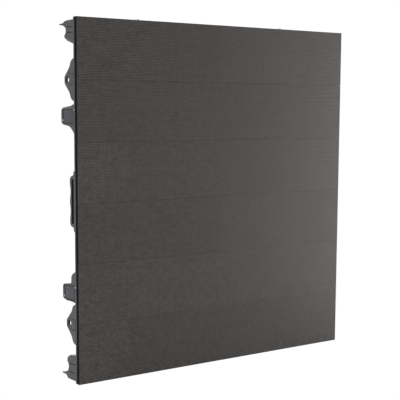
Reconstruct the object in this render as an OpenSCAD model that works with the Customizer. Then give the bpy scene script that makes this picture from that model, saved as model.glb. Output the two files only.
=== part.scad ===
// Full-colour display cabinet: a cast frame that carries a wall of square-pixel light modules.
// Front face looks towards -Y, the cabinet stands on its bottom rail, +Z is up.
// The origin is at the middle of the footprint, on the floor.

/* [Screen] */
// Distance from one pixel to the next
pixel_pitch = 4; // [3.8:0.1:5]
// Gap between neighbouring modules
module_gap = 0.4; // [0.2:0.1:1]

/* [Module] */
// Thickness of the front mask, louvres included
mask_t = 4; // [3:0.1:5]
// How far a louvre stands out of the mask
louvre_h = 1.5; // [0.8:0.1:2]
// Thickness of a louvre at its root
louvre_root_t = 0.8; // [0.5:0.05:1.2]
// Thickness of a louvre at its tip
louvre_tip_t = 0.4; // [0.2:0.05:0.45]
// Depth of the module behind the mask, up to the frame
shell_depth = 8; // [7:0.5:12]
// Wall of the module shell
shell_wall = 2; // [1.5:0.1:3]
// Floor of the module shell
shell_floor = 4; // [3:0.5:5]
// Corner radius of the module shell
shell_r = 3; // [1:0.5:4]
// Height of the raised back of the shell
back_rise = 7.5; // [6:0.5:9]
// Depth of the pockets in the raised back
pocket_depth = 5; // [2:0.5:7]
// Thickness of the ribs between those pockets
pocket_rib = 2.4; // [1.5:0.1:4]
// Thickness of the circuit boards
board_t = 1.6; // [1:0.1:2]

/* [Frame] */
// Thickness of the land that the modules sit on
land_t = 4.5; // [3:0.5:6]
// Half width of the land along a side of a module
land_side = 40.5; // [38:0.5:46]
// Half width of the land above and below a module
land_end = 14.5; // [13:0.5:17]
// Depth of the main ribs behind the land
rib_depth = 33; // [26:1:38]
// Thickness of the main ribs
rib_t = 5; // [4:0.5:7]
// Height of the low ribs on the land
low_rib_h = 8; // [4:0.5:9]
// Inset of the upright side rib from the side of the cabinet
side_inset = 34; // [30:1:34]
// Thickness of the upright side rib
side_rib_t = 6; // [4:0.5:6]
// Corner radius of the windows in the land
window_r = 8; // [4:1:12]

/* [Side castings] */
// Thickness of the joining plates at the cabinet's edges
plate_t = 9; // [7:0.5:11]
// Diameter of the joining holes
joint_hole_d = 18; // [12:1:20]
// Depth of the joining holes behind the front face
joint_hole_depth = 47.5; // [46:0.5:49]
// Overall depth of the cabinet, at the tips of the corner fins
cabinet_depth = 85; // [82:1:95]
// Distance from the upper joining hole down to the middle of its lock housing
upper_lock_spacing = 93; // [88:1:105]
// Distance from the lower joining hole up to the middle of its lock housing
lower_lock_spacing = 83; // [80:1:95]
// Height of a lock housing
lock_h = 41; // [36:1:43]
// Depth at which a lock housing ends
lock_rear = 79.5; // [76:0.5:82]
// Distance of the pointed rear fin from the cabinet's end, at an upper corner
upper_fin_drop = 17.5; // [16:0.5:20]
// Distance of the pointed rear fin from the cabinet's end, at a lower corner
lower_fin_drop = 20.5; // [18:0.5:22]
// Half length of the hand slot
slot_half = 59; // [50:1:64]
// Height of the hand slot's middle above the cabinet's middle
grip_lift = 6; // [0:1:10]
// Width of the hand grip, across the cabinet
grip_w = 24; // [18:1:28]

/* [Top and bottom] */
// Distance of a locating pin from the middle of the cabinet
pin_x = 260; // [245:1:275]
// Diameter of a locating pin
pin_d = 16; // [10:1:18]
// Height of a locating pin above the cabinet
pin_h = 6; // [4:0.5:12]
// Depth of the pins behind the front face
pin_depth = 47; // [46:0.5:48.5]

/* [Control box] */
// Wall of the control tray
tray_wall = 3; // [2:0.5:4]
// Room left between the control tray and the ribs beside it
tray_room = 8; // [6:0.5:12]
// Depth at which the control cover ends
cover_rear = 80.5; // [78:0.5:82]
// Thickness of the control cover
cover_t = 3; // [2:0.5:4]
// Height of the cooling fins on the control cover
fin_h = 3; // [1.5:0.5:4]
// Thickness of the power supplies
supply_t = 28; // [22:1:34]
// Height of the receiving card
card_h = 40; // [30:1:50]
// Height of the hub board
hub_h = 26; // [20:1:34]
// Room between the pieces in the control tray
box_room = 8; // [5:0.5:10]
// Diameter of the power and data sockets
socket_d = 16; // [12:1:17]
// Length of the sockets below the control tray
socket_len = 26; // [16:1:30]

/* [Hidden] */
columns = 3;
rows = 6;
pixels_across = 80;
pixels_up = 40;
seat_gap = 0.3;

module_w = pixels_across * pixel_pitch;
module_h = pixels_up * pixel_pitch;
cabinet_w = columns * module_w;
cabinet_h = rows * module_h;
half_w = cabinet_w / 2;
half_h = cabinet_h / 2;

// Depths from the front face, towards the back
mask_face = louvre_h;
land_front = mask_t + shell_depth;
land_rear = land_front + land_t;
shell_rear = land_front + back_rise;
board_rear = mask_t + board_t;
low_rib_rear = land_rear + low_rib_h;
rib_rear = land_rear + rib_depth;

// Module details
louvre_edge = 0.25;
back_half_w = module_w / 2 - land_side - 1.5;
back_half_h = module_h / 2 - land_end - 1.5;
screw_in_x = 28;
screw_in_z = 10;
screw_x = module_w / 2 - screw_in_x;
screw_z = module_h / 2 - screw_in_z;
screw_r = 2;
screw_head_r = 3.5;
screw_head_h = 2.6;
post_r = 5;
header_w = 40;
header_h = 10;
gasket_w = 3;
pocket_columns = 6;
pocket_rows = 3;

// Places on the frame
upper_joint_z = cabinet_h - module_h;
lower_joint_z = module_h;
upper_lock_z = upper_joint_z - upper_lock_spacing;
lower_lock_z = lower_joint_z + lower_lock_spacing;
grip_z = half_h + grip_lift;
side_rib_x = half_w - side_inset;
rib_x = module_w / 2;
rib_z = 2 * module_h;
boss_r = 9;
fixing_hole_r = 4.25;
tray_boss_r = 8;
tray_screw_r = 2.5;
lock_half = lock_h / 2;
lock_front = land_rear + 3.5;
lock_r = 8;
lock_cover_t = 2.4;
lock_rim = 14;
lock_screw_r = 1.5;
lock_head_r = 2.7;
groove_t = 1.6;
pin_neck = 0.5;
pin_shank_r = pin_d / 2 - 2;

// Corner castings, measured from the cabinet's end
corner_top = 8;
waist_depth = 52.5;
lobe_r = 10;
lobe_depth = 58.5;
upper_lobe = 51.5;
upper_end = 69;
lower_lobe = 63;
lower_end = 75;

// Control box
tray_half_w = rib_x - rib_t / 2 - tray_room;
tray_half_h = module_h - rib_t / 2 - tray_room;
tray_front = low_rib_rear + 1;
gasket_t = 1.5;
cover_front = cover_rear - fin_h - cover_t;
tray_rear = cover_front - gasket_t;
tray_r = 10;
flange_t = 3;
flange_over = rib_t / 2 + tray_room + tray_boss_r;
socket_y = (rib_rear + flange_t + tray_rear) / 2;
cover_screw_r = 2;
cover_screw_in = 7;
cover_boss_r = 6;
box_half_w = tray_half_w - cover_screw_in - cover_boss_r - box_room;
box_half_h = tray_half_h - cover_screw_in - cover_boss_r - box_room;
supply_w = box_half_w - box_room;
supply_h = 2 * box_half_h - card_h - hub_h - 2 * box_room;
vent_pitch = 10;
vent_t = 4;
board_post_h = 5;
board_post_r = 3;
chip_pitch = 32;
chip_w = 14;
chip_h = 6;
socket_xs = [65, 105];

places = [for (r = [1 : rows]) for (c = [1 : columns]) [r, c]];

frame_grey = [0.33, 0.33, 0.35];
mask_black = [0.1, 0.1, 0.1];
shell_black = [0.07, 0.07, 0.08];
lock_grey = [0.2, 0.2, 0.23];

// Puts the front face half a depth in front of the origin
module placed() {
    translate([0, -cabinet_depth / 2, 0])
        children();
}

// A slab with its outline in X and Z, from one depth to another
module slab(front, rear) {
    translate([0, rear, 0])
        rotate([90, 0, 0])
            linear_extrude(rear - front)
                children();
}

// A plate with its outline in depth and height, lying against the cabinet's left side
module side_plate(inset, thickness) {
    translate([inset - half_w, 0, 0])
        rotate([90, 0, 90])
            linear_extrude(thickness)
                children();
}

// A rectangle about the origin with round corners
module rounded(half_x, half_y, r) {
    square([2 * half_x, 2 * (half_y - r)], center = true);
    square([2 * (half_x - r), 2 * half_y], center = true);
    for (x = [-1, 1])
        for (y = [-1, 1])
            translate([x * (half_x - r), y * (half_y - r)])
                circle(r, $fn = 32);
}

// Both sides of the cabinet, from a child drawn on the left
module both_sides() {
    children();
    mirror([1, 0, 0])
        children();
}

// Upper and lower half of the cabinet, from a child drawn in the upper one
module both_ends() {
    children();
    translate([0, 0, cabinet_h])
        mirror([0, 0, 1])
            children();
}

// Middle of the module in row r, counted from the top, and column c, counted from the left
function module_x(c) = (c - (columns + 1) / 2) * module_w;
function module_z(r) = cabinet_h - (r - 0.5) * module_h;

module at_module(r, c) {
    translate([module_x(c), 0, module_z(r)])
        children();
}

module at_module_screws() {
    for (x = [-screw_x, screw_x])
        for (z = [-screw_z, screw_z])
            translate([x, z])
                children();
}

// Front mask: a plate with one louvre over each row of pixels
module mask_profile() {
    half = (module_h - module_gap) / 2;
    polygon(concat(
        [[mask_t, half], [mask_t, -half], [mask_face, -half]],
        [for (i = [1 : pixels_up]) let (top = i * pixel_pitch - module_h / 2 - louvre_edge)
            each [
                [mask_face, top - louvre_root_t],
                [0, top - louvre_root_t],
                [0, top - louvre_root_t + louvre_tip_t],
                [mask_face, top]
            ]
        ],
        [[mask_face, half]]
    ));
}

module module_mask(r, c) {
    width = module_w - module_gap;
    color(mask_black)
        placed()
            at_module(r, c)
                translate([-width / 2, 0, 0])
                    rotate([90, 0, 90])
                        linear_extrude(width)
                            mask_profile();
}

// Module shell: a shallow box that holds the board, with a ribbed back that fills the frame's window
module shell_pockets() {
    pitch_x = (2 * back_half_w - pocket_rib) / pocket_columns;
    pitch_z = (2 * back_half_h - pocket_rib) / pocket_rows;
    for (i = [0 : pocket_columns - 1])
        for (j = [0 : pocket_rows - 1])
            if (j != 1 || i < 2 || i > 3)
                translate([pocket_rib - back_half_w + i * pitch_x, pocket_rib - back_half_h + j * pitch_z])
                    square([pitch_x - pocket_rib, pitch_z - pocket_rib]);
}

module module_shell(r, c) {
    half_x = (module_w - module_gap) / 2;
    half_z = (module_h - module_gap) / 2;
    color(shell_black)
        placed()
            at_module(r, c)
                difference() {
                    union() {
                        difference() {
                            slab(mask_t, land_front)
                                rounded(half_x, half_z, shell_r);
                            slab(mask_t - 1, land_front - shell_floor)
                                square([2 * (half_x - shell_wall), 2 * (half_z - shell_wall)], center = true);
                        }
                        slab(land_front - 1, shell_rear)
                            rounded(back_half_w, back_half_h, 6);
                        slab(board_rear, land_front - 1)
                            at_module_screws()
                                circle(post_r, $fn = 32);
                    }
                    slab(shell_rear - pocket_depth, shell_rear + 1)
                        shell_pockets();
                    slab(board_rear, shell_rear + 1)
                        square([header_w + 4, header_h + 4], center = true);
                    slab(board_rear + 1.5, land_front + 1)
                        at_module_screws()
                            circle(screw_r + 0.1, $fn = 24);
                }
}

// Circuit boards with the header that plugs into the hub
module module_boards() {
    half_x = module_w / 2 - module_gap / 2 - shell_wall - seat_gap;
    half_z = module_h / 2 - module_gap / 2 - shell_wall - seat_gap;
    color("darkgreen")
        placed()
            for (p = places)
                at_module(p[0], p[1]) {
                    slab(mask_t, board_rear)
                        square([2 * half_x, 2 * half_z], center = true);
                    slab(board_rear - 0.5, shell_rear - 1)
                        square([header_w, header_h], center = true);
                }
}

// Rubber seal round each window, in a groove of the land
module gasket_outline(grow) {
    difference() {
        rounded(back_half_w + 4 + gasket_w + grow, back_half_h + 4 + gasket_w + grow, window_r);
        rounded(back_half_w + 4 - grow, back_half_h + 4 - grow, window_r - gasket_w);
    }
}

module module_gaskets() {
    color([0.04, 0.04, 0.04])
        placed()
            for (p = places)
                at_module(p[0], p[1])
                    slab(land_front, land_front + 2)
                        gasket_outline(0);
}

// Screws from the back, through the land into the module shells
module module_screws() {
    color("silver")
        placed()
            for (p = places)
                at_module(p[0], p[1]) {
                    slab(land_rear, land_rear + screw_head_h)
                        at_module_screws()
                            circle(screw_head_r, $fn = 24);
                    slab(board_rear + 3, land_rear + 1)
                        at_module_screws()
                            circle(screw_r, $fn = 24);
                }
}

// Side view of a corner casting: a pointed rear fin, a waist and a round lobe
module corner_outline(fin, lobe, end) {
    waist = (fin + lobe) / 2;
    waist_r = (lobe - fin) / 2 - 4.5;
    difference() {
        union() {
            polygon([
                [land_front, 0], [land_rear, 1], [land_rear + 2, corner_top - 1], [42, corner_top],
                [57, corner_top + 1.5], [63, fin - 4.5], [68, fin], [lobe_depth, lobe],
                [lobe_depth - lobe_r, lobe + lobe_r], [land_rear + 8, end], [land_front, end]
            ]);
            translate([lobe_depth - lobe_r, lobe])
                circle(lobe_r, $fn = 48);
        }
        translate([waist_depth + waist_r, waist])
            circle(waist_r, $fn = 64);
    }
    polygon([
        [57, corner_top + 1.5], [63, fin - 4.5], [68, fin - 2.6], [cabinet_depth, fin - 1.2],
        [cabinet_depth, fin + 1.2], [70, fin + 2.6], [62, fin + 5], [56, fin + 9]
    ]);
}

// Outline of a joining plate: low shoulders on both sides of a blunt ear
module ear_outline() {
    shoulder = [[land_front, 56], [land_rear, 55.5], [27, 50.5], [31, 46], [34, 39], [37.5, 32]];
    polygon(concat(
        shoulder,
        [[57, 12.5], [60.5, 4], [60.5, -4], [57, -12.5]],
        [for (i = [5 : -1 : 0]) [shoulder[i][0], -shoulder[i][1]]]
    ));
    for (z = [-4, 4])
        translate([48.5, z])
            circle(12, $fn = 48);
}

// Cradle of a lock housing, open at the back, with its long flare towards the hand grip
module cradle_room() {
    translate([lock_front - seat_gap, -lock_half - seat_gap])
        square([cabinet_depth, lock_h + 2 * seat_gap]);
}

module upper_cradle_outline() {
    difference() {
        polygon([
            [land_front, lock_half + 12.5], [land_rear, lock_half + 11], [32, lock_half + 6],
            [60, lock_half + 3], [72, lock_half + 1.5], [72, -lock_half - 1.5], [60, -lock_half - 3],
            [41, -lock_half - 5.5], [33, -lock_half - 9.5], [25, -lock_half - 16],
            [20, -lock_half - 20.5], [land_rear, -lock_half - 25], [land_front, -lock_half - 25]
        ]);
        cradle_room();
    }
}

module lower_cradle_outline() {
    difference() {
        polygon([
            [land_front, -lock_half - 6], [24, -lock_half - 4], [34, -lock_half - 2.5],
            [60, -lock_half - 2.3], [66, -lock_half], [66, lock_half + 1.5], [45, lock_half + 3],
            [36.5, lock_half + 6], [36.5, lock_half + 20], [33, lock_half + 28], [28, lock_half + 32],
            [land_rear, lock_half + 38], [land_front, lock_half + 38]
        ]);
        cradle_room();
    }
}

// Hand grip with a gently waved back, round the hand slot
grip_swell = 1.8;
grip_rear = land_rear + 21;
grip_wall = 7;
grip_end = slot_half + 4;
function grip_edge(z) = grip_rear + grip_swell * cos(z * 360 / (slot_half - 8));

module grip_outline() {
    shoulder = [
        [land_front, grip_end + 19], [land_rear, grip_end + 18], [land_rear + 5, grip_end + 14],
        [land_rear + 6, grip_end + 6], [land_rear + 14, grip_end + 3.5], [grip_rear - 1, grip_end]
    ];
    difference() {
        polygon(concat(
            shoulder,
            [for (i = [-8 : 8]) let (z = -i * (grip_end - 5) / 8) [grip_edge(z), z]],
            [for (i = [5 : -1 : 0]) [shoulder[i][0], -shoulder[i][1]]]
        ));
        hand_slot_outline();
    }
}

module hand_slot_outline() {
    front = land_rear + 4;
    rear = grip_rear - grip_wall;
    translate([(front + rear) / 2, 0])
        rounded((rear - front) / 2, slot_half, 4);
}

// The land with its windows
module land() {
    slab(land_front, land_rear)
        difference() {
            translate([0, half_h])
                rounded(half_w, half_h, 3);
            for (p = places)
                translate([module_x(p[1]), module_z(p[0])])
                    rounded(module_w / 2 - land_side, module_h / 2 - land_end, window_r);
        }
}

// Holes of the module screws, of the locks' edge screws and of the two fixings at each side
module screw_holes() {
    slab(land_front - 1, land_rear + 1)
        for (p = places)
            translate([module_x(p[1]), module_z(p[0])])
                at_module_screws()
                    circle(screw_r + 0.25, $fn = 24);
    both_sides()
        for (z = [upper_lock_z, lower_lock_z])
            translate([0, 0, z]) {
                side_plate(-1, 8)
                    at_edge_screw()
                        circle(lock_screw_r + seat_gap, $fn = 24);
                side_plate(-1, 1.9)
                    at_edge_screw()
                        circle(lock_head_r + seat_gap, $fn = 24);
            }
    slab(rib_rear - 25, rib_rear + 1)
        at_fixings()
            circle(fixing_hole_r, $fn = 32);
    slab(rib_rear - 12, rib_rear + 1)
        at_tray_bosses()
            circle(tray_screw_r, $fn = 24);
}

module main_ribs() {
    for (x = [-rib_x, rib_x])
        translate([x - rib_t / 2, 1])
            square([rib_t, cabinet_h - 2]);
    for (z = [rib_z, cabinet_h - rib_z])
        translate([-side_rib_x, z - rib_t / 2])
            square([2 * side_rib_x, rib_t]);
    for (z = [0, cabinet_h - rib_t])
        translate([-side_rib_x, z])
            square([2 * side_rib_x, rib_t]);
    for (x = [-side_rib_x, side_rib_x - side_rib_t])
        translate([x, 0])
            square([side_rib_t, cabinet_h]);
}

module low_ribs() {
    for (z = [module_h, half_h, cabinet_h - module_h])
        translate([-side_rib_x, z - rib_t / 2])
            square([2 * side_rib_x, rib_t]);
}

module at_fixings() {
    for (x = [-rib_x, rib_x])
        for (z = [module_h, cabinet_h - module_h])
            translate([x, z])
                children();
}

module at_tray_bosses() {
    for (x = [-rib_x, rib_x])
        for (z = [rib_z, cabinet_h - rib_z])
            translate([x, z])
                children();
}

// Corner casting of the lower left corner: pockets open to the back leave a side wall and three webs
module corner_casting(fin, lobe, end) {
    waist = (fin + lobe) / 2;
    slope = atan((end - lobe - lobe_r) / (lobe_depth - lobe_r - land_rear - 8));
    edge = 6;
    difference() {
        side_plate(0, side_inset)
            corner_outline(fin, lobe, end);
        side_plate(plate_t, side_inset - plate_t + 1) {
            translate([land_rear + 3, fin + 3])
                square([cabinet_depth, waist - fin - 5.5]);
            translate([land_rear + 3, waist + 2.5])
                square([cabinet_depth, lobe + 3.5 - waist]);
        }
        for (z = [fin + 8, lobe - 11.5])
            translate([-half_w - 1, land_rear + 3, z - 1.5])
                cube([4, 28, 3]);
        translate([screw_in_x - half_w, land_rear, screw_in_z])
            rotate([-90, 0, 0])
                cylinder(h = cabinet_depth, r = screw_head_r + 1.5, $fn = 32);
        translate([-half_w, land_rear + 8, end])
            rotate([-slope, 0, 0])
                rotate([0, 45, 0])
                    cube([edge * sqrt(2), 2 * lobe_depth, edge * sqrt(2)], center = true);
    }
}

// Joining plate with its hole and a small blind cover beside it, on two webs
module joining_plate() {
    panel_rear = joint_hole_depth - joint_hole_d / 2 - 1.5;
    panel_low = -13;
    panel_high = 16;
    panel = [panel_rear - land_rear, panel_high - panel_low];
    grooves = 2 * [groove_t, groove_t];
    difference() {
        side_plate(0, plate_t)
            difference() {
                ear_outline();
                translate([joint_hole_depth, 0])
                    circle(joint_hole_d / 2, $fn = 48);
            }
        side_plate(-1, 3.5)
            difference() {
                translate([land_rear, panel_low])
                    square(panel);
                translate([land_rear, panel_low] + grooves / 2)
                    square(panel - grooves);
            }
    }
    for (z = [-30, 30])
        translate([-half_w, land_rear - 1, z - rib_t / 2])
            cube([side_inset, 19, rib_t]);
}

module lock_cradle(end) {
    side_plate(0, side_inset)
        if (end > 0)
            upper_cradle_outline();
        else
            lower_cradle_outline();
}

module at_edge_screw() {
    translate([land_rear, lock_half - 4])
        children();
}

module hand_grip() {
    side_plate(0, grip_w)
        grip_outline();
    for (z = [-grip_end, slot_half])
        translate([-half_w, land_rear - 1, z])
            cube([side_inset, 14, grip_end - slot_half]);
}

module side_castings() {
    corner_casting(lower_fin_drop, lower_lobe, lower_end);
    translate([0, 0, cabinet_h])
        mirror([0, 0, 1])
            corner_casting(upper_fin_drop, upper_lobe, upper_end);
    translate([0, 0, upper_joint_z])
        joining_plate();
    translate([0, 0, lower_joint_z])
        mirror([0, 0, 1])
            joining_plate();
    translate([0, 0, upper_lock_z])
        lock_cradle(1);
    translate([0, 0, lower_lock_z])
        lock_cradle(-1);
    translate([0, 0, grip_z])
        hand_grip();
}

// Top and bottom joining plates, with the seats of the locating pins
module end_plate() {
    for (x = [-pin_x, pin_x])
        translate([x, 0, cabinet_h - plate_t])
            rotate([0, 0, 90])
                mirror([0, 1, 0])
                    linear_extrude(plate_t)
                        ear_outline();
}

module cabinet_frame() {
    color(frame_grey)
        placed()
            difference() {
                union() {
                    land();
                    slab(land_rear - 1, rib_rear)
                        main_ribs();
                    slab(land_rear - 1, low_rib_rear)
                        low_ribs();
                    slab(land_rear - 1, rib_rear)
                        at_fixings()
                            circle(boss_r, $fn = 48);
                    slab(land_rear - 1, rib_rear)
                        at_tray_bosses()
                            circle(tray_boss_r, $fn = 48);
                    both_sides()
                        side_castings();
                    both_ends()
                        end_plate();
                }
                screw_holes();
                both_sides()
                    translate([0, 0, grip_z])
                        side_plate(grip_w, side_inset + side_rib_t - grip_w + 1)
                            hand_slot_outline();
                slab(land_front - 1, land_front + 2)
                    for (p = places)
                        translate([module_x(p[1]), module_z(p[0])])
                            gasket_outline(0.2);
                for (x = [-pin_x, pin_x]) {
                    translate([x, pin_depth, -1])
                        cylinder(h = plate_t + 2, r = pin_d / 2 + seat_gap, $fn = 48);
                    translate([x, pin_depth, cabinet_h - plate_t - 1])
                        cylinder(h = plate_t + 2, r = pin_shank_r + seat_gap, $fn = 48);
                }
            }
}

// Top locating pin: a shank in the frame's end plate, a relief groove and a chamfered head
module locating_pin(side) {
    color("silver")
        placed()
            translate([side * pin_x, pin_depth, cabinet_h])
                rotate_extrude($fn = 48)
                    polygon([
                        [0, -plate_t], [pin_shank_r, -plate_t], [pin_shank_r, 0], [pin_d / 2 - 0.6, 0],
                        [pin_d / 2 - 0.6, pin_neck], [pin_d / 2, pin_neck], [pin_d / 2, pin_h - 1.5],
                        [pin_d / 2 - 1.5, pin_h], [0, pin_h]
                    ]);
}

// Lock housing: closed box with rounded back edges and a cover let into its side
module lock_outline() {
    translate([lock_front, -lock_half])
        square([lock_rear - lock_front - lock_r, lock_h]);
    translate([lock_front, lock_r - lock_half])
        square([lock_rear - lock_front, lock_h - 2 * lock_r]);
    for (z = [lock_r - lock_half, lock_half - lock_r])
        translate([lock_rear - lock_r, z])
            circle(lock_r, $fn = 32);
}

module lock_cover_outline(inset) {
    translate([(lock_front + 2 + lock_rear - lock_rim) / 2, 0])
        rounded((lock_rear - lock_rim - lock_front - 2) / 2 - inset, lock_half - 2.5 - inset, 3);
}

module at_lock(side, end) {
    placed()
        scale([-side, 1, 1])
            translate([0, 0, end > 0 ? upper_lock_z : lower_lock_z])
                children();
}

module lock_housing(side, end) {
    color(lock_grey)
        at_lock(side, end)
            difference() {
                side_plate(1, side_inset - 1 - seat_gap)
                    lock_outline();
                side_plate(0, lock_cover_t + 1)
                    lock_cover_outline(0);
                side_plate(0, 7)
                    at_rim_screw()
                        circle(lock_screw_r + seat_gap, $fn = 24);
            }
}

module lock_cover(side, end) {
    color(lock_grey)
        at_lock(side, end)
            side_plate(1, lock_cover_t)
                lock_cover_outline(groove_t / 2);
}

module at_rim_screw() {
    translate([lock_rear - 8, 9.5 - lock_half])
        children();
}

// Control tray: open box on a flange that rests on the ribs
module tray_plan(inset) {
    translate([0, half_h])
        rounded(tray_half_w - inset, tray_half_h - inset, tray_r - inset);
}

module control_tray() {
    color(frame_grey)
        placed()
            difference() {
                union() {
                    slab(tray_front, tray_rear)
                        tray_plan(0);
                    slab(rib_rear, rib_rear + flange_t)
                        translate([0, half_h])
                            rounded(tray_half_w + flange_over, tray_half_h + flange_over, tray_r);
                }
                difference() {
                    slab(tray_front + tray_wall, tray_rear + 1)
                        tray_plan(tray_wall);
                    slab(tray_front, tray_rear + 1)
                        at_cover_screws()
                            circle(cover_boss_r, $fn = 32);
                }
                slab(tray_rear - 14, tray_rear + 1)
                    at_cover_screws()
                        circle(cover_screw_r, $fn = 24);
                slab(rib_rear - 1, rib_rear + flange_t + 1)
                    at_tray_bosses()
                        circle(tray_screw_r + 0.25, $fn = 24);
                translate([0, 0, half_h - tray_half_h - 1])
                    both_sides()
                        at_sockets(-1)
                            cylinder(h = tray_wall + 2, r = socket_d / 2 - 2, $fn = 32);
            }
}

module at_cover_screws() {
    for (x = [cover_screw_in - tray_half_w, 0, tray_half_w - cover_screw_in])
        for (z = [cover_screw_in - tray_half_h, 0, tray_half_h - cover_screw_in])
            if (x != 0 || z != 0)
                translate([x, half_h + z])
                    children();
}

module at_sockets(side) {
    for (x = socket_xs)
        translate([side * x, socket_y, 0])
            children();
}

module cover_gasket() {
    color([0.04, 0.04, 0.04])
        placed()
            slab(tray_rear, cover_front)
                difference() {
                    tray_plan(0);
                    tray_plan(tray_wall);
                }
}

// Control cover: a cast lid with upright cooling fins
module control_cover() {
    fin_pitch = 12;
    fin_span = tray_half_w - 24;
    color(frame_grey)
        placed()
            difference() {
                union() {
                    slab(cover_front, cover_front + cover_t)
                        tray_plan(-1.5);
                    slab(cover_front + 1, cover_rear)
                        for (x = [-fin_span : fin_pitch : fin_span])
                            translate([x - 1.5, half_h - tray_half_h + 26])
                                square([3, 2 * tray_half_h - 52]);
                }
                slab(cover_front - 1, cover_rear + 1)
                    at_cover_screws()
                        circle(cover_screw_r + 0.25, $fn = 24);
            }
}

// Power supply: a folded metal case with vent slots, on the tray's floor
module power_supply(side) {
    front = tray_front + tray_wall;
    vent_half_z = supply_h / 2 - 2 * vent_pitch;
    color("silver")
        placed()
            translate([side * (supply_w / 2 + box_room), 0, half_h - box_half_h + supply_h / 2])
                difference() {
                    slab(front, front + supply_t)
                        square([supply_w, supply_h], center = true);
                    slab(front + supply_t - 1, front + supply_t + 1)
                        for (z = [-vent_half_z : vent_pitch : vent_half_z])
                            translate([0, z])
                                square([0.6 * supply_w, vent_t], center = true);
                }
}

// Circuit boards in the control tray, on posts and with their large parts
module control_board(half_x, z, half_z, chips) {
    front = tray_front + tray_wall;
    board_front = front + board_post_h;
    post_in = board_post_r + 2;
    color("darkgreen")
        placed()
            translate([0, 0, z]) {
                slab(board_front, board_front + board_t)
                    square([2 * half_x, 2 * half_z], center = true);
                slab(front, board_front + board_t / 2)
                    for (x = [post_in - half_x, half_x - post_in])
                        for (y = [post_in - half_z, half_z - post_in])
                            translate([x, y])
                                circle(board_post_r, $fn = 24);
                slab(board_front + board_t / 2, board_front + board_t + chip_h)
                    for (i = [1 : chips])
                        translate([(i - (chips + 1) / 2) * chip_pitch, 0])
                            square([chip_w, chip_w], center = true);
            }
}

module receiving_card() {
    control_board(box_half_w / 2, half_h + box_half_h - card_h / 2, card_h / 2, 3);
}

module hub_board() {
    control_board(box_half_w, half_h + box_half_h - card_h - box_room - hub_h / 2, hub_h / 2, 7);
}

// Sockets under the tray: a hexagon collar, a round body and a capped mouth
module socket_body() {
    top = half_h - tray_half_h;
    translate([0, 0, top - 5])
        cylinder(h = 5, r = socket_d / 2 + 0.5, $fn = 6);
    difference() {
        translate([0, 0, top - socket_len])
            cylinder(h = socket_len, r = socket_d / 2 - 1, $fn = 32);
        translate([0, 0, top - socket_len - 1])
            cylinder(h = 9, r = socket_d / 2 - 3, $fn = 32);
    }
    translate([0, 0, top - 1])
        cylinder(h = tray_wall + 1, r = socket_d / 2 - 2 - seat_gap, $fn = 32);
}

module power_sockets() {
    color([0.1, 0.1, 0.1])
        placed()
            at_sockets(-1)
                socket_body();
}

module data_sockets() {
    color([0.1, 0.1, 0.1])
        placed()
            at_sockets(1)
                socket_body();
}

// Screws of the control cover, the control tray and the lock covers
module housing_screws() {
    color("silver") {
        placed() {
            slab(cover_front + cover_t, cover_front + cover_t + 2.4)
                at_cover_screws()
                    circle(3.5, $fn = 24);
            slab(tray_rear - 8, cover_front + cover_t + 1)
                at_cover_screws()
                    circle(cover_screw_r - 0.1, $fn = 24);
            slab(rib_rear + flange_t, rib_rear + flange_t + 3)
                at_tray_bosses()
                    circle(4.25, $fn = 24);
            slab(rib_rear - 8, rib_rear + flange_t + 1)
                at_tray_bosses()
                    circle(tray_screw_r - 0.1, $fn = 24);
        }
        for (side = [-1, 1])
            for (end = [-1, 1])
                at_lock(side, end) {
                    side_plate(0.1, 0.9)
                        at_rim_screw()
                            circle(lock_head_r, $fn = 24);
                    side_plate(0.1, 0.8)
                        at_edge_screw()
                            circle(lock_head_r, $fn = 24);
                    side_plate(0.5, 5) {
                        at_rim_screw()
                            circle(lock_screw_r, $fn = 24);
                        at_edge_screw()
                            circle(lock_screw_r, $fn = 24);
                    }
                }
    }
}

cabinet_frame();
for (p = places) {
    module_mask(p[0], p[1]);
    module_shell(p[0], p[1]);
}
module_boards();
module_gaskets();
module_screws();
for (s = [["left", -1], ["right", 1]]) {
    for (v = [["upper", 1], ["lower", -1]]) {
        lock_housing(s[1], v[1]);
        lock_cover(s[1], v[1]);
    }
    locating_pin(s[1]);
    power_supply(s[1]);
}
control_tray();
cover_gasket();
control_cover();
receiving_card();
hub_board();
power_sockets();
data_sockets();
housing_screws();
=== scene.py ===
from math import atan2, cos, radians, sin

import bmesh
import bpy
from mathutils import Matrix, Vector


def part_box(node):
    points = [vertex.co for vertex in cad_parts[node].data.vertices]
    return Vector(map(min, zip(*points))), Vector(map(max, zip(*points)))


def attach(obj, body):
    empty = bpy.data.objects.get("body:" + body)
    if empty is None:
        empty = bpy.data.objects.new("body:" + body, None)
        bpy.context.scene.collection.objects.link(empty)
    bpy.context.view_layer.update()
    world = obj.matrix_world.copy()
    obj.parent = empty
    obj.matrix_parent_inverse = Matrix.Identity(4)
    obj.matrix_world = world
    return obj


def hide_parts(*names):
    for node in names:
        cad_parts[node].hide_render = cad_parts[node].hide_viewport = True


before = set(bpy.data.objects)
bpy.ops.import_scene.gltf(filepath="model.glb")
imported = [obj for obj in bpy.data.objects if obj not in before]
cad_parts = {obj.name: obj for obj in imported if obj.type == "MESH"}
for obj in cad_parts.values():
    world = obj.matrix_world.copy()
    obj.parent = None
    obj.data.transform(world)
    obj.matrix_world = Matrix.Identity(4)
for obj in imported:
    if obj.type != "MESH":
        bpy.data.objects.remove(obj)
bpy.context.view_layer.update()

# Viewpoint
# The cabinet is seen from the front and a little from the left, its lit face turned towards -Y. The
# camera's place and turn are those that bring the face's four corners where the photograph has
# them, and its shift sets the picture's middle as there.
azimuth, elevation, roll = -0.676648, 0.127487, 0.005869
front_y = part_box("module_mask_r1_c1")[0].y
camera_before_face = Vector((-2.03237, -2.43988, 0.73359))
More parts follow.
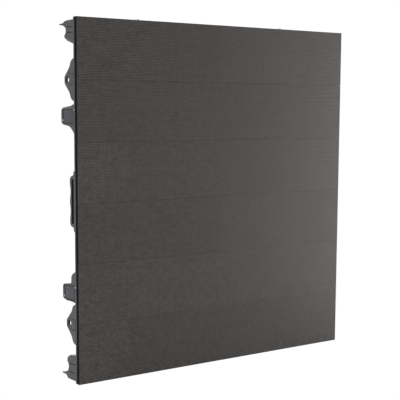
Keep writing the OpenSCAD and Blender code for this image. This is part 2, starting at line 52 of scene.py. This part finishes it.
backwards = Vector((sin(azimuth) * cos(elevation), -cos(azimuth) * cos(elevation), sin(elevation)))
level_right = (-backwards).cross(Vector((0, 0, 1))).normalized()
level_up = level_right.cross(-backwards)
camera_right = level_right * cos(roll) + level_up * sin(roll)
camera_up = level_up * cos(roll) - level_right * sin(roll)
bpy.ops.object.select_all(action="DESELECT")
bpy.ops.object.camera_add()
camera = bpy.context.object
camera.name = "photo_camera"
camera.matrix_world = Matrix((camera_right, camera_up, backwards)).transposed().to_4x4()
camera.location = camera_before_face + Vector((0, front_y, 0))
camera.data.lens = 100.17
camera.data.sensor_width = 36
camera.data.shift_x = -0.0006
camera.data.shift_y = 0.1231
camera.data.clip_end = 60
bpy.context.scene.camera = camera

# Studio
# A plain white floor in a white room. The camera sees both as clear white, while the cabinet is lit
# by a softer grey of them, by a wide light from the front left and by a narrow one that brightens
# the right of the lit face.
seen_white_strength = 1.02
floor_size, floor_grey = 24, 0.75
room_strength = 0.6


def white_to_camera(tree, lit, shader_kind, output):
    # What the camera sees straight on is clear white, and every other ray meets the lit surface
    ray = tree.nodes.new("ShaderNodeLightPath")
    clear = tree.nodes.new(shader_kind)
    clear.inputs["Color"].default_value = (1, 1, 1, 1)
    clear.inputs["Strength"].default_value = seen_white_strength
    choice = tree.nodes.new("ShaderNodeMixShader")
    tree.links.new(ray.outputs["Is Camera Ray"], choice.inputs[0])
    tree.links.new(lit.outputs[0], choice.inputs[1])
    tree.links.new(clear.outputs[0], choice.inputs[2])
    tree.links.new(choice.outputs[0], tree.nodes[output].inputs["Surface"])


bpy.ops.mesh.primitive_plane_add(size=floor_size, location=(0, 0, 0))
floor = bpy.context.object
floor.name = "studio_floor"
floor_paint = bpy.data.materials.new("floor_paint")
floor_paint.use_nodes = True
floor_shader = floor_paint.node_tree.nodes["Principled BSDF"]
floor_shader.inputs["Base Color"].default_value = (floor_grey, floor_grey, floor_grey, 1)
floor_shader.inputs["Roughness"].default_value = 0.9
white_to_camera(floor_paint.node_tree, floor_shader, "ShaderNodeEmission", "Material Output")
floor.data.materials.append(floor_paint)

room = bpy.data.worlds.new("studio_room")
room.use_nodes = True
room_light = room.node_tree.nodes["Background"]
room_light.inputs["Color"].default_value = (1, 1, 1, 1)
room_light.inputs["Strength"].default_value = room_strength
white_to_camera(room.node_tree, room_light, "ShaderNodeBackground", "World Output")
bpy.context.scene.world = room
bpy.context.scene.view_settings.view_transform = "Standard"


def soft_light(name, place, aim, width, height, power):
    bpy.ops.object.light_add(type="AREA", location=place)
    light = bpy.context.object
    light.name = name
    light.data.shape = "ELLIPSE"
    light.data.size = width
    light.data.size_y = height
    light.data.energy = power
    light.rotation_euler = (Vector(aim) - Vector(place)).to_track_quat("-Z", "Y").to_euler()


soft_light("key_light", (-2.9, -2.2, 2.4), (0, 0, 0.5), width=2.2, height=2.2, power=62)
soft_light("side_light", (1.0, -0.45, 0.46), (0.4, 0, 0.46), width=0.5, height=1.8, power=8.5)
soft_light("top_light", (-0.6, 0.6, 3.2), (0, 0, 0.5), width=2.5, height=2.5, power=30)
soft_light("rear_light", (1.6, 3.4, 2.4), (0, 0, 0.5), width=2.4, height=2.4, power=70)

# Module masks
# Eighteen matt black plastic fronts, each with a louvre over every pixel row that keeps rain and
# sun off the pixels. They are moulded with a fine spark-eroded grain, and clipped to the modules.
pixel_pitch = 0.004
module_rows = range(1, 7)
module_columns = range(1, 4)
modules = [(row, column) for row in module_rows for column in module_columns]
module_size = (0.32, 1, 0.16)
grain_depth = 0.0003
mask_side_depth = 0.0005
side_blend = 0.0002


def material(name, roughness, metallic=0.0, specular=0.5):
    made = bpy.data.materials.new(name)
    made.use_nodes = True
    shader = made.node_tree.nodes["Principled BSDF"]
    shader.inputs["Roughness"].default_value = roughness
    shader.inputs["Metallic"].default_value = metallic
    shader.inputs["Specular IOR Level"].default_value = specular
    return made


def add_node(made, kind, **values):
    node = made.node_tree.nodes.new(kind)
    for name, value in values.items():
        if name in node.inputs:
            node.inputs[name].default_value = value
        else:
            setattr(node, name, value)
    return node


def map_range(made, **limits):
    node = add_node(made, "ShaderNodeMapRange")
    for name, value in limits.items():
        node.inputs[name.replace("_", " ").title()].default_value = value
    return node


def link(made, out, into):
    made.node_tree.links.new(out, into)


def surface_group():
    # Speckled colour, uneven gloss and a fine grain, for moulded and painted surfaces
    group = bpy.data.node_groups.new("surface_variation", "ShaderNodeTree")
    for name, kind, value in (
            ("Color", "NodeSocketColor", (0.5, 0.5, 0.5, 1)),
            ("Spread", "NodeSocketFloat", 0.15),
            ("Scale", "NodeSocketFloat", 12.0),
            ("Grain Scale", "NodeSocketFloat", 1500.0),
            ("Grain", "NodeSocketFloat", 0.2),
            ("Roughness", "NodeSocketFloat", 0.5)):
        socket = group.interface.new_socket(name=name, in_out="INPUT", socket_type=kind)
        socket.default_value = value
    for name, kind in (
            ("Color", "NodeSocketColor"),
            ("Roughness", "NodeSocketFloat"),
            ("Normal", "NodeSocketVector")):
        group.interface.new_socket(name=name, in_out="OUTPUT", socket_type=kind)
    nodes, links = group.nodes, group.links
    given = nodes.new("NodeGroupInput")
    result = nodes.new("NodeGroupOutput")
    place = nodes.new("ShaderNodeTexCoord")
    cloud = nodes.new("ShaderNodeTexNoise")
    cloud.inputs["Detail"].default_value = 5
    grain = nodes.new("ShaderNodeTexNoise")
    grain.inputs["Detail"].default_value = 2
    links.new(place.outputs["Object"], cloud.inputs["Vector"])
    links.new(place.outputs["Object"], grain.inputs["Vector"])
    links.new(given.outputs["Scale"], cloud.inputs["Scale"])
    links.new(given.outputs["Grain Scale"], grain.inputs["Scale"])
    centred = nodes.new("ShaderNodeMath")
    centred.operation = "SUBTRACT"
    centred.inputs[1].default_value = 0.5
    links.new(cloud.outputs["Fac"], centred.inputs[0])
    spread = nodes.new("ShaderNodeMath")
    spread.operation = "MULTIPLY_ADD"
    spread.inputs[2].default_value = 1.0
    links.new(centred.outputs[0], spread.inputs[0])
    links.new(given.outputs["Spread"], spread.inputs[1])
    tinted = nodes.new("ShaderNodeVectorMath")
    tinted.operation = "SCALE"
    links.new(given.outputs["Color"], tinted.inputs[0])
    links.new(spread.outputs[0], tinted.inputs["Scale"])
    links.new(tinted.outputs[0], result.inputs["Color"])
    gloss = nodes.new("ShaderNodeMath")
    gloss.operation = "MULTIPLY"
    links.new(given.outputs["Roughness"], gloss.inputs[0])
    links.new(spread.outputs[0], gloss.inputs[1])
    links.new(gloss.outputs[0], result.inputs["Roughness"])
    bump = nodes.new("ShaderNodeBump")
    bump.inputs["Distance"].default_value = grain_depth
    links.new(grain.outputs["Fac"], bump.inputs["Height"])
    links.new(given.outputs["Grain"], bump.inputs["Strength"])
    links.new(bump.outputs[0], result.inputs["Normal"])
    return group


surface_variation = surface_group()


def finish(made, color, spread=0.15, scale=12.0, grain=0.2, grain_scale=1500.0):
    shader = made.node_tree.nodes["Principled BSDF"]
    shader.inputs["Base Color"].default_value = (*color, 1)
    group = add_node(made, "ShaderNodeGroup", node_tree=surface_variation)
    for name, value in (
            ("Color", (*color, 1)),
            ("Spread", spread),
            ("Scale", scale),
            ("Grain Scale", grain_scale),
            ("Grain", grain),
            ("Roughness", shader.inputs["Roughness"].default_value)):
        group.inputs[name].default_value = value
    for given, taken in (("Color", "Base Color"), ("Roughness", "Roughness"), ("Normal", "Normal")):
        link(made, group.outputs[given], shader.inputs[taken])
    return made


def dress(node, made):
    node_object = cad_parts[node]
    node_object.data.materials.clear()
    node_object.data.materials.append(made)


def scale_color(made, factor):
    # Puts a factor between the material's colour so far and its shader
    scaled = add_node(made, "ShaderNodeVectorMath", operation="SCALE")
    target = made.node_tree.nodes["Principled BSDF"].inputs["Base Color"]
    link(made, target.links[0].from_socket, scaled.inputs[0])
    link(made, factor, scaled.inputs["Scale"])
    link(made, scaled.outputs[0], target)


def vary_by_cell(made, cell, strength):
    # Each cell of the given size is a little lighter or darker than the next, as batches are
    place = add_node(made, "ShaderNodeTexCoord")
    snapped = add_node(made, "ShaderNodeVectorMath", operation="SNAP")
    snapped.inputs[1].default_value = cell
    chance = add_node(made, "ShaderNodeTexWhiteNoise", noise_dimensions="3D")
    factor = map_range(made, to_min=1 - strength, to_max=1 + strength)
    link(made, place.outputs["Object"], snapped.inputs[0])
    link(made, snapped.outputs[0], chance.inputs["Vector"])
    link(made, chance.outputs["Value"], factor.inputs["Value"])
    scale_color(made, factor.outputs[0])
    return made


def paint_side_shade(made, beyond, factor):
    # Further out than the given half width the colour and the reflection are turned down by the
    # factor, a painted shade on the outward sides
    shader = made.node_tree.nodes["Principled BSDF"]
    place = add_node(made, "ShaderNodeTexCoord")
    folded = add_node(made, "ShaderNodeVectorMath", operation="ABSOLUTE")
    parts = add_node(made, "ShaderNodeSeparateXYZ")
    side = map_range(made, from_min=beyond, from_max=beyond + side_blend, to_min=1.0, to_max=factor)
    gloss = add_node(made, "ShaderNodeMath", operation="MULTIPLY")
    gloss.inputs[1].default_value = shader.inputs["Specular IOR Level"].default_value
    link(made, place.outputs["Object"], folded.inputs[0])
    link(made, folded.outputs[0], parts.inputs[0])
    link(made, parts.outputs["X"], side.inputs["Value"])
    link(made, side.outputs[0], gloss.inputs[0])
    link(made, gloss.outputs[0], shader.inputs["Specular IOR Level"])
    scale_color(made, side.outputs[0])


mask_plastic = finish(material("mask_plastic", 0.6, specular=0.35), (0.083, 0.0772, 0.0733),
                      spread=1.5, scale=110)
# The outward sides of the masks at the cabinet's edges get painted shade, a darker and less
# reflective black
paint_side_shade(mask_plastic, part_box("module_mask_r1_c3")[1].x - mask_side_depth, 0.12)
vary_by_cell(mask_plastic, module_size, 0.06)
for row, column in modules:
    dress(f"module_mask_r{row}_c{column}", mask_plastic)

# Pixels
# A square lamp sits under each louvre, 80 across and 40 up in every module: a black package with a
# milky resin face. Soldered to the board behind, it looks out through a window in the mask.
pixels_across, pixels_up = 80, 40
lamp_size = 0.0021
lamp_height = 0.0005
lamp_draft = 0.00018
resin_half_width = 0.2
resin_edge_blend = 0.02
package_black = (0.006, 0.006, 0.006, 1)
rosy_resin, greenish_resin = (0.05, 0.036, 0.037, 1), (0.036, 0.043, 0.032, 1)
mask_face_y = front_y + 0.0015


def lamp_material():
    # The resin's half width is given as a share of the pitch, and its tint drifts over the face
    made = material("lamp_resin", 0.42, specular=0.4)
    place = add_node(made, "ShaderNodeTexCoord")
    cells = add_node(made, "ShaderNodeVectorMath", operation="DIVIDE")
    cells.inputs[1].default_value = (pixel_pitch, 1, pixel_pitch)
    within = add_node(made, "ShaderNodeVectorMath", operation="FRACTION")
    centred = add_node(made, "ShaderNodeVectorMath", operation="SUBTRACT")
    centred.inputs[1].default_value = (0.5, 0, 0.5)
    folded = add_node(made, "ShaderNodeVectorMath", operation="ABSOLUTE")
    parts = add_node(made, "ShaderNodeSeparateXYZ")
    reach = add_node(made, "ShaderNodeMath", operation="MAXIMUM")
    window = map_range(made, from_min=resin_half_width,
                       from_max=resin_half_width - resin_edge_blend)
    link(made, place.outputs["Object"], cells.inputs[0])
    link(made, cells.outputs[0], within.inputs[0])
    link(made, within.outputs[0], centred.inputs[0])
    link(made, centred.outputs[0], folded.inputs[0])
    link(made, folded.outputs[0], parts.inputs[0])
    link(made, parts.outputs["X"], reach.inputs[0])
    link(made, parts.outputs["Z"], reach.inputs[1])
    link(made, reach.outputs[0], window.inputs["Value"])
    blotches = add_node(made, "ShaderNodeTexNoise", Scale=120.0, Detail=3.0)
    link(made, place.outputs["Object"], blotches.inputs["Vector"])
    contrast = map_range(made, from_min=0.4, from_max=0.6)
    link(made, blotches.outputs["Fac"], contrast.inputs["Value"])
    resin = add_node(made, "ShaderNodeMix", data_type="RGBA")
    resin.inputs["A"].default_value = rosy_resin
    resin.inputs["B"].default_value = greenish_resin
    link(made, contrast.outputs[0], resin.inputs["Factor"])
    lamp = add_node(made, "ShaderNodeMix", data_type="RGBA")
    lamp.inputs["A"].default_value = package_black
    link(made, window.outputs[0], lamp.inputs["Factor"])
    link(made, resin.outputs["Result"], lamp.inputs["B"])
    shader = made.node_tree.nodes["Principled BSDF"]
    link(made, lamp.outputs["Result"], shader.inputs["Base Color"])
    return vary_by_cell(made, (pixel_pitch, 1, pixel_pitch), 0.35)


def block(name, width, depth, height):
    bpy.ops.object.select_all(action="DESELECT")
    bpy.ops.mesh.primitive_cube_add(size=1, location=(0, 0, 0))
    piece = bpy.context.object
    piece.name = name
    piece.scale = (width, depth, height)
    bpy.ops.object.transform_apply(location=False, rotation=False, scale=True)
    return piece


def taper_end(piece, sign, share):
    # Draws in the end that looks along Y with the given sign, to a share of its size
    bpy.ops.object.mode_set(mode="EDIT")
    bpy.ops.mesh.select_mode(type="VERT")
    edit = bmesh.from_edit_mesh(piece.data)
    for vertex in edit.verts:
        vertex.select = vertex.co.y * sign > 0
    edit.select_flush(True)
    bmesh.update_edit_mesh(piece.data)
    bpy.ops.transform.resize(value=(share, 1, share))
    bpy.ops.object.mode_set(mode="OBJECT")


def repeat(piece, across, up, step):
    # Copies the piece along X and then along Z
    for axis, count in ((0, across), (2, up)):
        array = piece.modifiers.new("row", "ARRAY")
        array.count = count
        array.use_relative_offset = False
        array.use_constant_offset = True
        array.constant_offset_displace = [step if i == axis else 0 for i in range(3)]
        bpy.ops.object.modifier_apply(modifier=array.name)


def centred_on(node, y, across, up, step):
    # The move that brings the middle of such a pattern to the middle of the node, at depth y
    low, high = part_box(node)
    middle = (low + high) / 2
    return Matrix.Translation((
        middle.x - (across - 1) / 2 * step,
        y,
        middle.z - (up - 1) / 2 * step))


lamp = block("lamp", lamp_size, lamp_height, lamp_size)
bpy.ops.object.mode_set(mode="EDIT")
edit = bmesh.from_edit_mesh(lamp.data)
for face in edit.faces:
    face.select = face.normal.y > 0.9
bmesh.update_edit_mesh(lamp.data)
bpy.ops.mesh.delete(type="FACE")
bpy.ops.object.mode_set(mode="OBJECT")
taper_end(lamp, -1, 1 - 2 * lamp_draft / lamp_size)
repeat(lamp, pixels_across, pixels_up, pixel_pitch)
lamp.data.materials.append(lamp_material())

for row, column in modules:
    field = lamp.copy()
    field.data = lamp.data.copy()
    field.name = f"pixels_r{row}_c{column}"
    bpy.context.collection.objects.link(field)
    field.data.transform(centred_on(f"module_mask_r{row}_c{column}", mask_face_y,
                                    pixels_across, pixels_up, pixel_pitch))
    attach(field, "root")
bpy.data.objects.remove(lamp)

# Module shells
# A black moulded box behind each mask, with a ribbed back that fills a window of the frame. Its
# sides are the black band round the face, and its edges are slightly rounded by the mould.
shell_plastic = finish(material("shell_plastic", 0.6, specular=0.35), (0.02, 0.02, 0.0215),
                       spread=0.25)
# The rounded edges get a lighter, glossier black, a painted highlight
shell_edge_highlight = finish(material("shell_edge_highlight", 0.5, specular=0.4), (0.03, 0.03, 0.032), spread=0.25)
shell_side_depth = 0.0008
# The outward sides of the shells at the cabinet's edges get painted shade, a darker and less
# reflective black
for black in (shell_plastic, shell_edge_highlight):
    paint_side_shade(black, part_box("module_shell_r1_c3")[1].x - shell_side_depth, 0.18)
least_sharp, most_sharp = radians(30), radians(115)
smooth_below = radians(32)
weld_distance = 0.00001
flat_within = radians(0.5)


def merged_copy(node, name, dissolve=True):
    piece = bpy.data.objects.new(name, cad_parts[node].data.copy())
    bpy.context.collection.objects.link(piece)
    bpy.ops.object.select_all(action="DESELECT")
    bpy.context.view_layer.objects.active = piece
    piece.select_set(True)
    bpy.ops.mesh.customdata_custom_splitnormals_clear()
    bpy.ops.object.mode_set(mode="EDIT")
    bpy.ops.mesh.select_all(action="SELECT")
    bpy.ops.mesh.remove_doubles(threshold=weld_distance)
    if dissolve:
        bpy.ops.mesh.dissolve_limited(angle_limit=flat_within)
    bpy.ops.object.mode_set(mode="OBJECT")
    return piece


def round_edges(piece, width, surface, edge_highlight, segments=2):
    # Rounds the outward edges by the width, and gives the rounded faces the second, lighter
    # material:
    # a painted highlight, which on the coated castings also stands for the thinner coat there
    bpy.ops.object.mode_set(mode="EDIT")
    mesh = bmesh.from_edit_mesh(piece.data)
    weight = mesh.edges.layers.float.new("bevel_weight_edge")
    for line in mesh.edges:
        if (line.is_manifold and line.is_convex
                and least_sharp < line.calc_face_angle() < most_sharp):
            line[weight] = 1
    bmesh.update_edit_mesh(piece.data)
    bpy.ops.object.mode_set(mode="OBJECT")
    piece.data.materials.clear()
    piece.data.materials.append(surface)
    piece.data.materials.append(edge_highlight)
    for face in piece.data.polygons:
        face.material_index = 0
    bevel = piece.modifiers.new("rounding", "BEVEL")
    bevel.limit_method = "WEIGHT"
    bevel.width = width
    bevel.segments = segments
    bevel.use_clamp_overlap = False
    bevel.loop_slide = False
    bevel.material = 1
    bpy.ops.object.modifier_apply(modifier=bevel.name)
    bpy.ops.object.shade_smooth_by_angle(angle=smooth_below)


def stands_for(piece, node):
    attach(piece, "root")
    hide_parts(node)


def soften(node, name, width, surface, edge_highlight):
    piece = merged_copy(node, name)
    round_edges(piece, width, surface, edge_highlight)
    stands_for(piece, node)


first_shell = merged_copy("module_shell_r1_c1", "shell_r1_c1")
round_edges(first_shell, 0.0005, shell_plastic, shell_edge_highlight, segments=1)
first_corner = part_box("module_shell_r1_c1")[0]
for row, column in modules:
    node = f"module_shell_r{row}_c{column}"
    shell = first_shell
    if (row, column) != (1, 1):
        shell = first_shell.copy()
        shell.data = first_shell.data.copy()
        shell.name = f"shell_r{row}_c{column}"
        bpy.context.collection.objects.link(shell)
        shell.data.transform(Matrix.Translation(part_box(node)[0] - first_corner))
    stands_for(shell, node)

# Circuit boards
# Green boards in the shells, each with a black box header for its cable at the middle of the back.
# The header is open at its end, with two rows of tinned pins.
board_green = finish(material("board_green", 0.35), (0.015, 0.09, 0.035), spread=0.3, scale=60)
header_plastic = finish(material("header_plastic", 0.5, specular=0.4), (0.016, 0.016, 0.017),
                        spread=0.2)
tinned_pin = finish(material("tinned_pin", 0.3, metallic=1.0), (0.66, 0.62, 0.5), spread=0.2,
                    grain=0.05)
board_thickness = 0.0016
header_wall = 0.0011
header_depth = 0.007
pins_across, pins_up, pin_pitch, pin_size = 14, 2, 0.00254, 0.0007
pin_length = header_depth - 0.001
within_plane = 0.0001

boards = merged_copy("module_boards", "circuit_boards")
boards.data.materials.clear()
boards.data.materials.append(board_green)
boards.data.materials.append(header_plastic)
header_end = max(vertex.co.y for vertex in boards.data.vertices)
board_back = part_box("module_mask_r1_c1")[1].y + board_thickness
bpy.ops.object.mode_set(mode="EDIT")
bpy.ops.mesh.select_mode(type="FACE")
bpy.ops.mesh.select_all(action="DESELECT")
mesh = bmesh.from_edit_mesh(boards.data)
for face in mesh.faces:
    depth = face.calc_center_median().y
    face.material_index = 1 if depth > board_back + within_plane else 0
    face.select = face.normal.y > 0.9 and depth > header_end - within_plane
bmesh.update_edit_mesh(boards.data)
bpy.ops.mesh.inset(thickness=header_wall, use_individual=True)
bpy.ops.mesh.extrude_faces_move(TRANSFORM_OT_shrink_fatten={"value": -header_depth})
bpy.ops.object.mode_set(mode="OBJECT")
stands_for(boards, "module_boards")

pins = block("header_pins", pin_size, pin_length, pin_size)
taper_end(pins, 1, 0.5)
repeat(pins, pins_across, pins_up, pin_pitch)
one_header = pins.data.copy()
all_pins = bmesh.new()
for row, column in modules:
    placed = one_header.copy()
    placed.transform(centred_on(f"module_mask_r{row}_c{column}",
                                header_end - header_depth + pin_length / 2,
                                pins_across, pins_up, pin_pitch))
    all_pins.from_mesh(placed)
all_pins.to_mesh(pins.data)
all_pins.free()
pins.data.materials.append(tinned_pin)
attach(pins, "root")

# Seals
# Black silicone cords in grooves of the frame's land, one round each window. They are laid in by
# hand, and the shells squeeze them.
seal_rubber = finish(material("seal_rubber", 0.8, specular=0.3), (0.02, 0.02, 0.02), spread=0.2)
dress("module_gaskets", seal_rubber)

# Screws
# Zinc-plated socket screws: seventy-two hold the modules from behind, and the rest the control box
# and the lock covers. Each head is turned, rounded at its rim, and has a hexagon socket.
zinc_steel = finish(material("zinc_steel", 0.35, metallic=1.0), (0.6, 0.6, 0.585), spread=0.3,
                    scale=90, grain=0.1)
# The rounded rims get a lighter, glossier zinc, a painted highlight
zinc_edge_highlight = finish(material("zinc_edge_highlight", 0.28, metallic=1.0), (0.7, 0.7, 0.68), spread=0.2,
                   scale=90, grain=0.05)
socket_share, socket_depth = 0.52, 0.0011
first_inset = 0.0001
fewest_sides = 12
hexagon_turn = radians(60)


def cut_sockets(piece, axis, sign, least_radius):
    # Gives each round head that looks along the axis a hexagon socket
    bpy.ops.object.mode_set(mode="EDIT")
    bpy.ops.mesh.select_mode(type="FACE")
    bpy.ops.mesh.select_all(action="DESELECT")
    mesh = bmesh.from_edit_mesh(piece.data)
    for face in mesh.faces:
        middle = face.calc_center_median()
        radius = max((vertex.co - middle).length for vertex in face.verts)
        face.select = (len(face.verts) > fewest_sides and face.normal[axis] * sign > 0.9
                       and radius > least_radius)
    bmesh.update_edit_mesh(piece.data)
    bpy.ops.mesh.inset(thickness=first_inset, use_individual=True)
    mesh = bmesh.from_edit_mesh(piece.data)
    u, v = [i for i in range(3) if i != axis]
    for face in [face for face in mesh.faces if face.select]:
        middle = face.calc_center_median()
        for vertex in face.verts:
            away = vertex.co - middle
            turn = atan2(away[v], away[u]) % hexagon_turn - hexagon_turn / 2
            apothem = away.length * socket_share
            vertex.co = middle + away.normalized() * (apothem / cos(turn))
    bmesh.update_edit_mesh(piece.data)
    bpy.ops.mesh.extrude_faces_move(TRANSFORM_OT_shrink_fatten={"value": -socket_depth})
    bpy.ops.object.mode_set(mode="OBJECT")


module_screws = merged_copy("module_screws", "socket_screws")
round_edges(module_screws, 0.0004, zinc_steel, zinc_edge_highlight)
cut_sockets(module_screws, 1, 1, least_radius=0.0026)
stands_for(module_screws, "module_screws")
housing_screws = merged_copy("housing_screws", "cover_screws")
round_edges(housing_screws, 0.00025, zinc_steel, zinc_edge_highlight)
cut_sockets(housing_screws, 1, 1, least_radius=0.0028)
for towards in (-1, 1):
    cut_sockets(housing_screws, 0, towards, least_radius=0.002)
stands_for(housing_screws, "housing_screws")

# Cabinet frame
# One die-cast aluminium piece under a dark grey satin powder coat, with a slight orange peel. The
# coat is a little lighter along the rounded cast edges, where it is thinner, and this is also a
# painted highlight. The faces inside the hand slots are painted near black, a painted shade.
frame_paint = finish(material("frame_paint", 0.45, specular=0.4), (0.068, 0.066, 0.075),
                     spread=0.22, scale=9, grain=0.25, grain_scale=700)
frame_edge_coat_and_highlight = finish(material("frame_edge_coat_and_highlight", 0.4, specular=0.5), (0.098, 0.096, 0.107),
                    spread=0.3, scale=40, grain=0.2, grain_scale=700)
slot_painted_shade = finish(material("slot_painted_shade", 0.7, specular=0.2), (0.012, 0.012, 0.0125),
                     spread=0.2)
slot_from_x = 0.4385
slot_front, slot_rear = front_y + 0.0198, front_y + 0.0312
slot_low, slot_high = 0.4265, 0.5455

cast_frame = merged_copy("cabinet_frame", "cast_frame", dissolve=False)
round_edges(cast_frame, 0.0007, frame_paint, frame_edge_coat_and_highlight)
# The faces inside the hand slots get a near-black material, a painted shade
cast_frame.data.materials.append(slot_painted_shade)
for face in cast_frame.data.polygons:
    x, y, z = face.center
    in_slot = abs(x) > slot_from_x and slot_front < y < slot_rear and slot_low < z < slot_high
    if in_slot and abs(face.normal.x) < 0.4:
        face.material_index = 2
stands_for(cast_frame, "cabinet_frame")

# Locating pins
# Turned steel pins pressed into the top edge, zinc plated, for the sockets of the cabinet above.
# Their heads are chamfered, so that they find the sockets.
dress("locating_pin_left", zinc_steel)
dress("locating_pin_right", zinc_steel)

# Lock housings
# Closed cast boxes in the frame's cradles, each with a flat cover let into its side and small
# screws. Both are powder coated, the boxes in a darker grey than the covers.
lock_paint = finish(material("lock_paint", 0.45, specular=0.35), (0.035, 0.0345, 0.042),
                    spread=0.25)
lock_edge_coat_and_highlight = finish(material("lock_edge_coat_and_highlight", 0.4, specular=0.45), (0.05, 0.049, 0.058), spread=0.25)
cover_paint = finish(material("lock_cover_paint", 0.45, specular=0.4), (0.062, 0.06, 0.074),
                     spread=0.2)
cover_edge_coat_and_highlight = finish(material("lock_cover_edge_coat_and_highlight", 0.4, specular=0.5), (0.095, 0.093, 0.107),
                    spread=0.2)
# The rounded edges of boxes and covers are a lighter grey, where the coat is thinner, and also a
# painted highlight
for side in ("left", "right"):
    for level in ("upper", "lower"):
        soften(f"lock_housing_{level}_{side}", f"lock_box_{level}_{side}", 0.0009,
               lock_paint, lock_edge_coat_and_highlight)
        soften(f"lock_cover_{level}_{side}", f"lock_lid_{level}_{side}", 0.0004,
               cover_paint, cover_edge_coat_and_highlight)

# Control box
# A cast tray on the frame's ribs under a finned lid, with a rubber gasket between them. Inside are
# two supplies and two boards, and the sockets stand under it.
box_paint = finish(material("control_box_paint", 0.45, specular=0.4), (0.08, 0.078, 0.087),
                   spread=0.2, grain=0.25, grain_scale=700)
box_edge_coat_and_highlight = finish(material("control_box_edge_coat_and_highlight", 0.4, specular=0.5), (0.115, 0.112, 0.124),
                  spread=0.3, grain=0.2, grain_scale=700)
supply_metal = finish(material("supply_metal", 0.4, metallic=1.0), (0.6, 0.61, 0.62), spread=0.2)
socket_plastic = finish(material("socket_plastic", 0.4, specular=0.4), (0.02, 0.02, 0.021),
                        spread=0.2)
socket_edge_highlight = finish(material("socket_edge_highlight", 0.35, specular=0.5), (0.03, 0.03, 0.031), spread=0.2)
# The rounded edges of tray, lid and sockets are lighter, a painted highlight, which on tray and lid
# also stands for the thinner coat
soften("control_tray", "cast_tray", 0.0008, box_paint, box_edge_coat_and_highlight)
soften("control_cover", "finned_cover", 0.0006, box_paint, box_edge_coat_and_highlight)
soften("power_sockets", "power_connectors", 0.0005, socket_plastic, socket_edge_highlight)
soften("data_sockets", "data_connectors", 0.0005, socket_plastic, socket_edge_highlight)
dress("cover_gasket", seal_rubber)
dress("power_supply_left", supply_metal)
dress("power_supply_right", supply_metal)
dress("receiving_card", board_green)
dress("hub_board", board_green)
